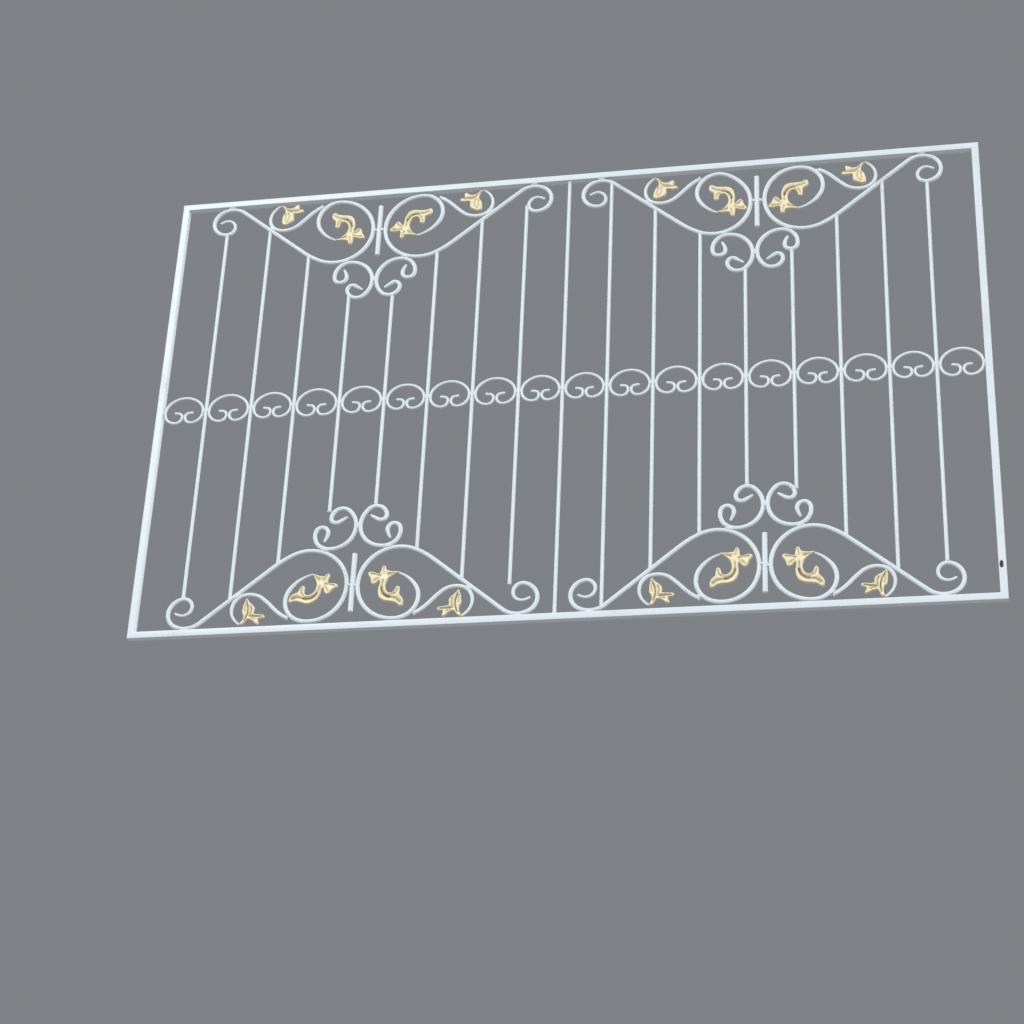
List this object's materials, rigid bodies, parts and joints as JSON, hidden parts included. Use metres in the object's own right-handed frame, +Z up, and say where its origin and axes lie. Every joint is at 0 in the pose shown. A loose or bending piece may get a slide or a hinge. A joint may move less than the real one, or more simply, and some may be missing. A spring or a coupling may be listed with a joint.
{
  "type": "window grille",
  "caption": "Welded wrought-steel window grille: square-tube frame, upright round bars, scroll groups with cast leaves and a middle band of C scrolls.",
  "frame": {"origin": "middle of the flat underside of the bottom rail, where the grille stands on the sill", "axes": "+X along the sill to the viewer's right seen from outside, +Y into the building through the thin depth, +Z up"},
  "size_m": [2.4, 0.02, 1.476],
  "materials": {
    "white_paint": "gloss white paint over hand-welded steel",
    "gold_paint": "satin pale gold paint on cast leaves"
  },
  "bodies": {
    "root": {"bar_01": "white_paint", "bar_02": "white_paint", "bar_03": "white_paint", "bar_04": "white_paint", "bar_05": "white_paint", "bar_06": "white_paint", "bar_07": "white_paint", "bar_08": "white_paint", "bar_09": "white_paint", "bar_10": "white_paint", "bar_11": "white_paint", "bar_12": "white_paint", "bar_13": "white_paint", "bar_14": "white_paint", "bar_15": "white_paint", "bar_16": "white_paint", "bar_17": "white_paint", "bottom_rail": "white_paint", "left_band_scrolls": "white_paint", "left_stile": "white_paint", "loop_stays": "white_paint", "lower_left_branch_scrolls": "white_paint", "lower_left_inner_scroll": "white_paint", "lower_left_leaves": "gold_paint", "lower_left_outer_scroll": "white_paint", "lower_left_small_scrolls": "white_paint", "lower_right_branch_scrolls": "white_paint", "lower_right_inner_scroll": "white_paint", "lower_right_leaves": "gold_paint", "lower_right_outer_scroll": "white_paint", "lower_right_small_scrolls": "white_paint", "right_band_scrolls": "white_paint", "right_stile": "white_paint", "top_rail": "white_paint", "upper_left_branch_scrolls": "white_paint", "upper_left_inner_scroll": "white_paint", "upper_left_leaves": "gold_paint", "upper_left_outer_scroll": "white_paint", "upper_left_small_scrolls": "white_paint", "upper_right_branch_scrolls": "white_paint", "upper_right_inner_scroll": "white_paint", "upper_right_leaves": "gold_paint", "upper_right_outer_scroll": "white_paint", "upper_right_small_scrolls": "white_paint"}
  },
  "joints": []
}
